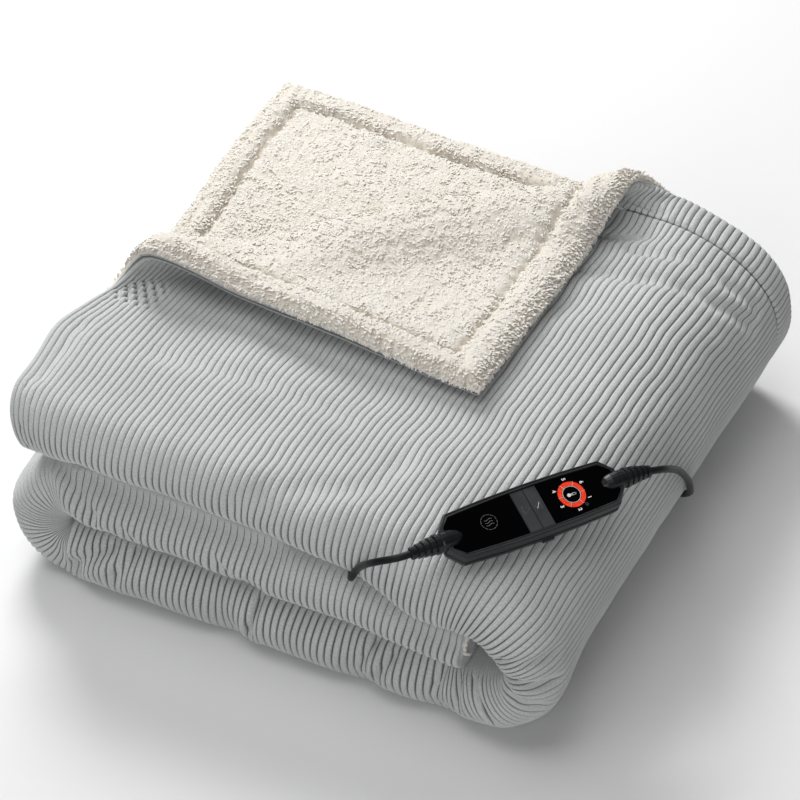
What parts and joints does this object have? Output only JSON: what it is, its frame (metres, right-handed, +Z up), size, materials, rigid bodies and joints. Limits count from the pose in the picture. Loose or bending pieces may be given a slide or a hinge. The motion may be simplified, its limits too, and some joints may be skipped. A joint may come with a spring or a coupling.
{
  "type": "electric heated blanket",
  "caption": "Folded electric blanket of ribbed grey plush backed with cream fleece, one corner turned back, with a hand controller between its leads and a coiled mains lead with plug",
  "frame": {"origin": "bottom centre of the folded pile with its controller, on the surface that it lies on", "axes": "+Z up through the layers, -Y the front where the rolled folds show, +X to the right, towards the closed bend that the controller's lead hangs over"},
  "size_m": [0.4563, 0.5568, 0.1911],
  "materials": {
    "grey_plush": "short soft plush with raised ribs, light cool grey",
    "cream_fleece": "curly short-pile fleece, cream",
    "dark_plastic": "fine satin texture, anthracite",
    "gloss_window": "polished black",
    "satin_key": "satin, anthracite",
    "lead_rubber": "smooth satin cable sheath, near black",
    "plug_plastic": "moulded satin, near black",
    "pin_metal": "nickel plated"
  },
  "bodies": {
    "blanket": {"face_panel": "grey_plush", "fleece_panel": "cream_fleece", "controller_base": "dark_plastic", "controller_cover": "dark_plastic", "window_front": "gloss_window", "window_dial": "gloss_window", "boot_left": "dark_plastic", "boot_right": "dark_plastic", "lead_blanket": "lead_rubber", "lead_mains": "lead_rubber", "mains_coil": "lead_rubber", "plug_body": "plug_plastic", "plug_collar": "plug_plastic", "plug_pin_1": "pin_metal", "plug_pin_2": "pin_metal"},
    "left_key": {"key_left": "satin_key"},
    "right_key": {"key_right": "satin_key"},
    "slider": {"power_slider": "satin_key"}
  },
  "joints": [
    {"name": "left_key_press", "type": "slide", "parent": "blanket", "child": "left_key", "axis": [-0.2895, 0.1502, -0.9453], "range_m": [0, 0.0008], "stiffness_N_per_m": 1200, "springref_m": -0.0004},
    {"name": "right_key_press", "type": "slide", "parent": "blanket", "child": "right_key", "axis": [-0.2895, 0.1502, -0.9453], "range_m": [0, 0.0008], "stiffness_N_per_m": 1200, "springref_m": -0.0004},
    {"name": "power_slide", "type": "slide", "parent": "blanket", "child": "slider", "axis": [0.5602, 0.8274, -0.0401], "range_m": [-0.002, 0.002]}
  ]
}
